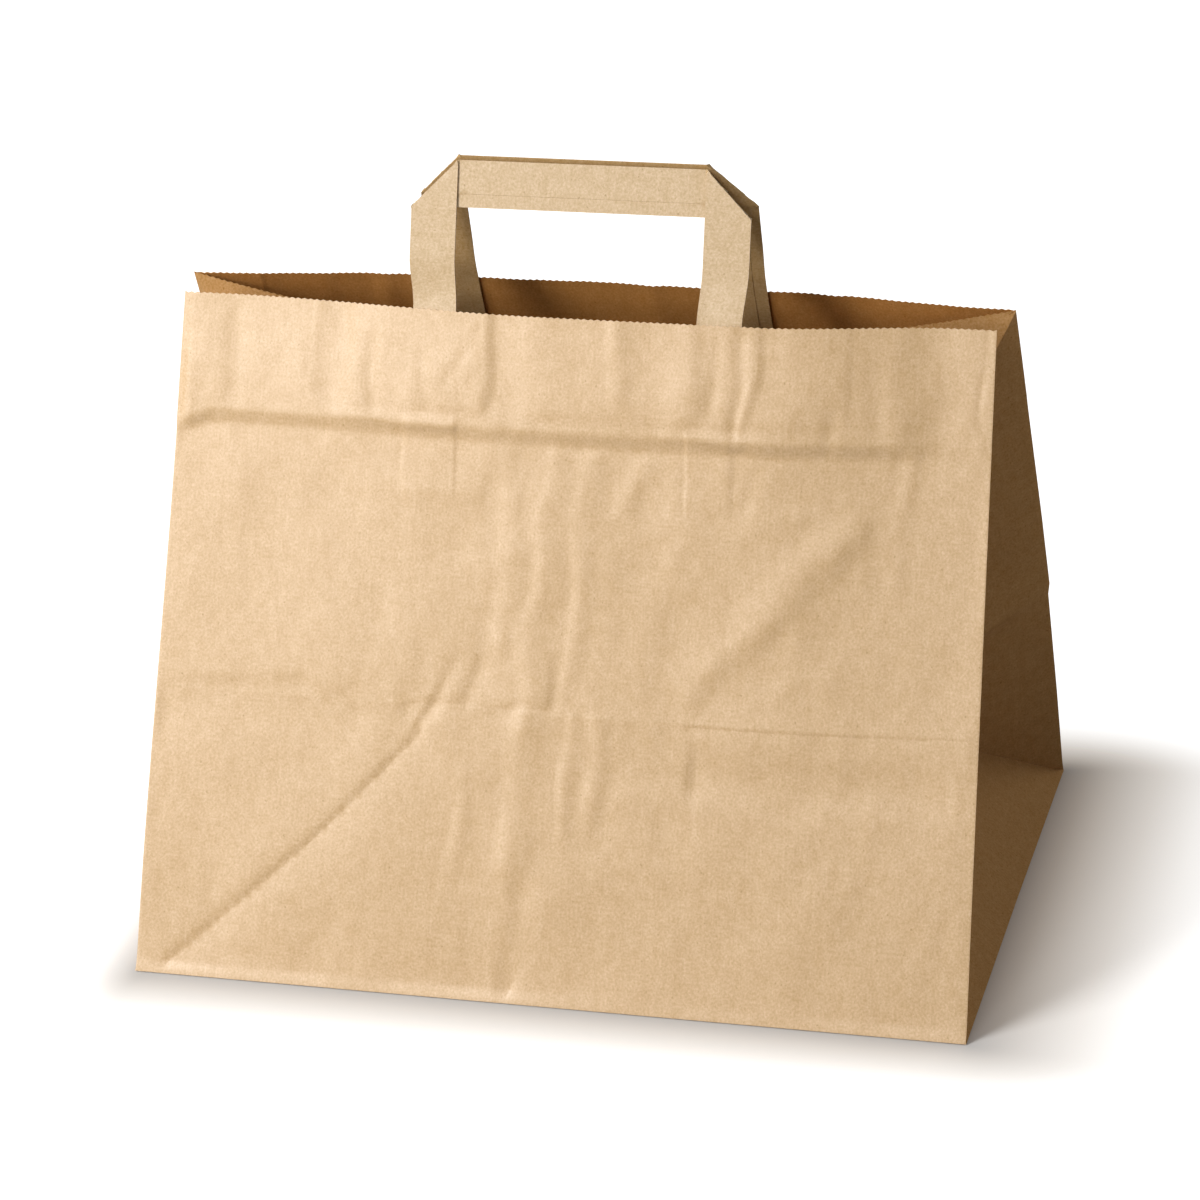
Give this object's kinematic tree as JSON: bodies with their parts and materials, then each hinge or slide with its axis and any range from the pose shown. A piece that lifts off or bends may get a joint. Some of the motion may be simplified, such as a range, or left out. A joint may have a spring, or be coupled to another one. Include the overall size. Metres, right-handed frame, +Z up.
{
  "type": "paper carrier bag",
  "caption": "Plain brown kraft paper carrier bag with a block bottom, folded-in side gussets, a serrated mouth and flat folded paper handles, standing half open.",
  "frame": {"origin": "middle of the base, on the surface that the bag stands on", "axes": "+X to the right along the front panel, +Y from the front panel to the back panel, +Z up"},
  "size_m": [0.32, 0.22, 0.2946],
  "materials": {
    "kraft_paper": "uncoated brown kraft paper, matte, with fibre flecks",
    "handle_paper": "folded kraft paper strap, matte, slightly paler"
  },
  "bodies": {
    "root": {"bag_body": "kraft_paper", "front_handle": "handle_paper", "back_handle": "handle_paper", "front_handle_patch": "kraft_paper", "back_handle_patch": "kraft_paper"}
  },
  "joints": []
}
